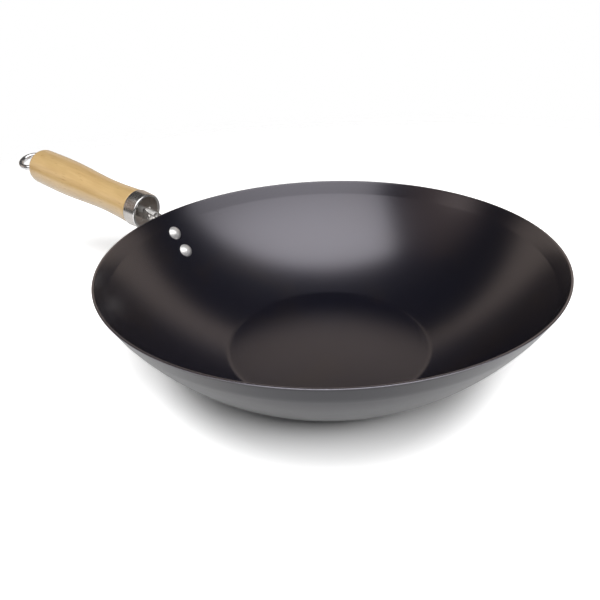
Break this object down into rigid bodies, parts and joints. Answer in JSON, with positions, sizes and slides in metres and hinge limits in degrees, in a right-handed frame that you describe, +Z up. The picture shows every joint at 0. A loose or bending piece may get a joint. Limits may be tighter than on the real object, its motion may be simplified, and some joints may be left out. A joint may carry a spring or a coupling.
{
  "type": "wok",
  "caption": "Flat-bottomed dark steel wok with a turned wooden grip on a riveted bracket, clamped by a tie rod that ends in a hanging eye.",
  "frame": {"origin": "centre of the underside of the flat base", "axes": "+Z up out of the bowl's mouth; the grip points along -X and rises; +Y completes the right-handed frame"},
  "size_m": [0.5519, 0.3494, 0.1342],
  "materials": {
    "coated_steel": "satin dark stove-fired coating on carbon steel",
    "bright_steel": "bright zinc-plated steel",
    "polished_steel": "polished",
    "pale_wood": "pale close-grained hardwood, clear satin lacquer"
  },
  "bodies": {
    "pan": {"wok_bowl": "coated_steel", "handle_bracket": "bright_steel", "bracket_rivets": "polished_steel", "sleeve_nut": "bright_steel", "spacer_tube": "bright_steel", "ferrule": "polished_steel", "wood_grip": "pale_wood"},
    "end_washer": {"end_washer": "polished_steel"},
    "tie_rod": {"tie_rod": "polished_steel"}
  },
  "joints": [
    {"name": "rod_travel", "type": "slide", "parent": "pan", "child": "end_washer", "axis": [-0.982, 0, 0.1891], "range_m": [0, 0.000875]},
    {"name": "eye_turn", "type": "hinge", "parent": "end_washer", "child": "tie_rod", "pos_m": [-0.36334, 0, 0.12055], "axis": [-0.982, 0, 0.1891], "range_deg": [0, 450]}
  ],
  "couplings": [
    {"joint": "eye_turn", "follows": "rod_travel", "rad_per_m": 8976}
  ]
}
